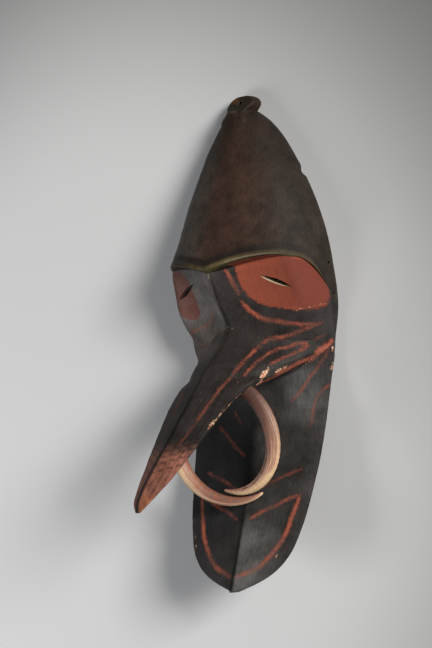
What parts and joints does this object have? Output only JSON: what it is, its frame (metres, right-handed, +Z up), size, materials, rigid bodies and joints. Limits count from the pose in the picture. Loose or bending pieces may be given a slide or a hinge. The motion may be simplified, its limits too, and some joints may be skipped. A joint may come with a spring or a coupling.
{
  "type": "carved mask",
  "caption": "Tall wooden spirit mask with an arched brow, pierced eye slits, a long jutting beak, curved boar tusks, a keeled lower face, a hollow back and a hanging lug.",
  "frame": {"origin": "under the middle of the object's box, on the surface that the back rim lies on", "axes": "+Z up, out of the face; +Y along the mask towards the forehead; +X across it, to the right as the face is looked at"},
  "size_m": [0.187, 0.487, 0.204],
  "materials": {
    "painted_wood": "worn black-brown paint with red ochre strokes",
    "tusk": "stained boar tusk, half polished"
  },
  "bodies": {
    "root": {"mask_body": "painted_wood", "tusk_right": "tusk", "tusk_left": "tusk"}
  },
  "joints": []
}
